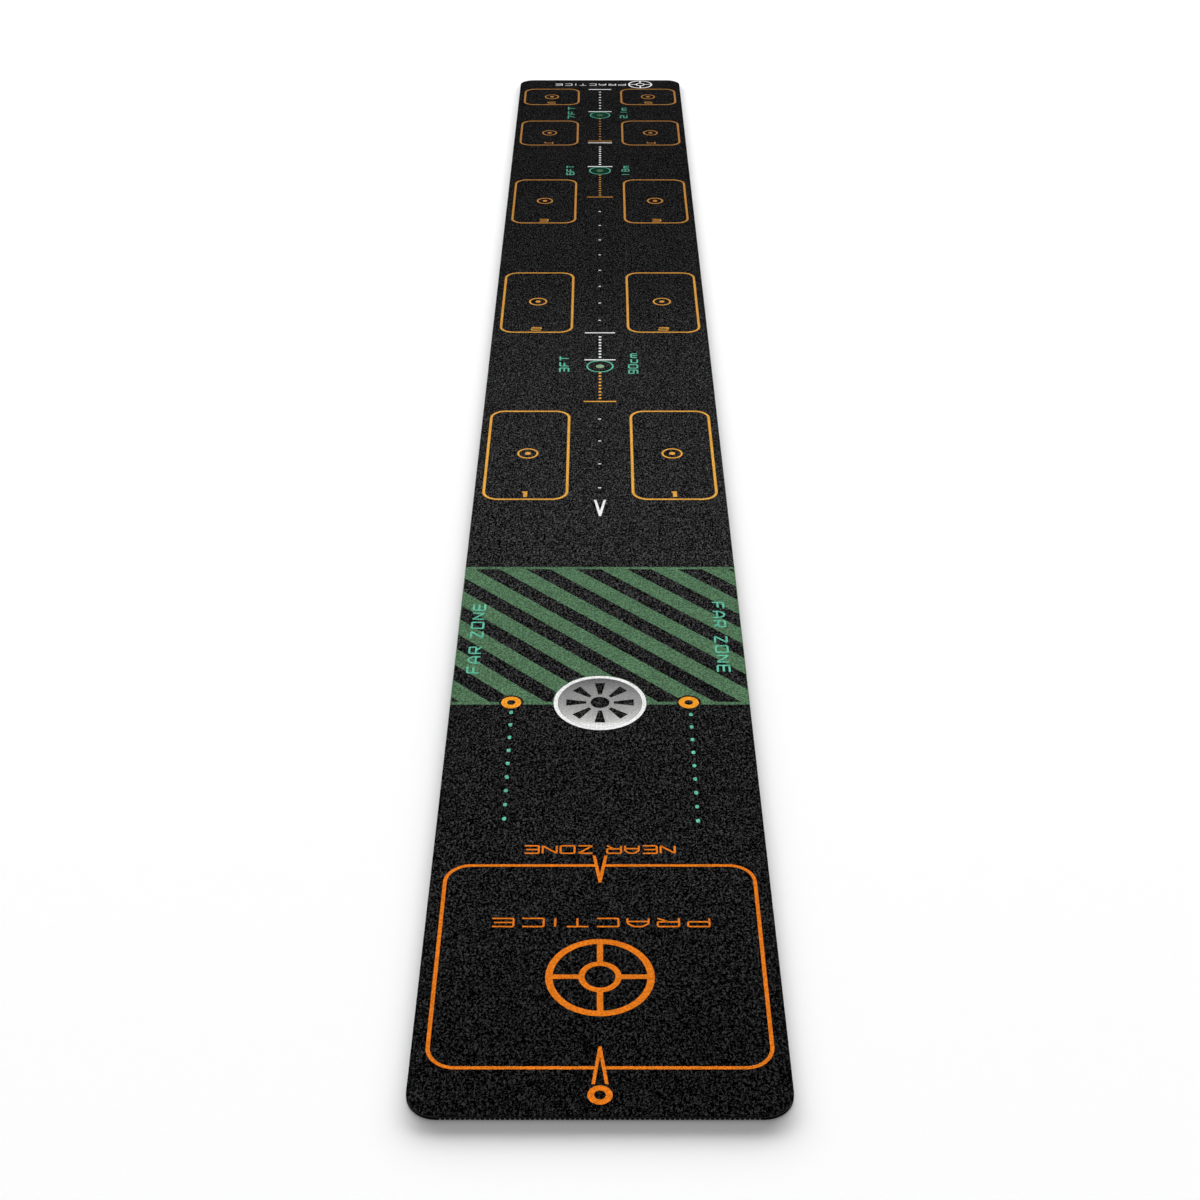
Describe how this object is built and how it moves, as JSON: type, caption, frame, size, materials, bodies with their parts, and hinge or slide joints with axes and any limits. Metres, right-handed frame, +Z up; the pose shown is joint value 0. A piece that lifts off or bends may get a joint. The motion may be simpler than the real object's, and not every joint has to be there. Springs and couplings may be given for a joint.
{
  "type": "practice putting mat",
  "caption": "Long dark velour putting mat on a rubber base, printed with a start box, a practice cup, a striped zone and putting stations.",
  "frame": {"origin": "middle of the mat's footprint, on the surface it lies on", "axes": "+X across the mat to the right seen from the start-box end, +Y along the mat from the start box to the far end, +Z up"},
  "size_m": [0.35, 3, 0.0052],
  "materials": {
    "rubber": "matt black moulded rubber",
    "latex": "thin cured black latex coat",
    "base_cloth": "plain woven backing cloth",
    "velour": "dense short velour pile, near black with pale flecks",
    "orange_print": "orange print in the pile",
    "amber_print": "amber print in the pile",
    "mint_print": "mint green print in the pile",
    "green_print": "mid green print in the pile",
    "white_print": "white print in the pile",
    "grey_print": "grey print in the pile, shaded from dark to nearly white"
  },
  "bodies": {
    "root": {"rubber_backing": "rubber", "bond_coat": "latex", "base_cloth": "base_cloth", "velour_pile": "velour", "start_box_line": "orange_print", "near_spot_ring": "orange_print", "start_target": "orange_print", "gate_ring_left": "orange_print", "gate_ring_right": "orange_print", "cup_rim_print": "white_print", "cup_floor_print": "grey_print", "zone_stripes": "green_print", "aim_arrow": "white_print", "station_1_left_frame": "amber_print", "station_1_left_ring": "amber_print", "station_1_right_frame": "amber_print", "station_1_right_ring": "amber_print", "station_2_left_frame": "amber_print", "station_2_left_ring": "amber_print", "station_2_right_frame": "amber_print", "station_2_right_ring": "amber_print", "station_3_left_frame": "amber_print", "station_3_left_ring": "amber_print", "station_3_right_frame": "amber_print", "station_3_right_ring": "amber_print", "station_4_left_frame": "amber_print", "station_4_left_ring": "amber_print", "station_4_right_frame": "amber_print", "station_4_right_ring": "amber_print", "station_5_left_frame": "amber_print", "station_5_left_ring": "amber_print", "station_5_right_frame": "amber_print", "station_5_right_ring": "amber_print", "first_short_line": "orange_print", "first_distance_ring": "mint_print", "first_reach_line": "white_print", "first_long_line": "white_print", "second_short_line": "orange_print", "second_distance_ring": "mint_print", "second_reach_line": "white_print", "second_long_line": "white_print", "third_short_line": "orange_print", "third_distance_ring": "mint_print", "third_reach_line": "white_print", "third_long_line": "white_print", "far_target": "white_print"}
  },
  "joints": []
}
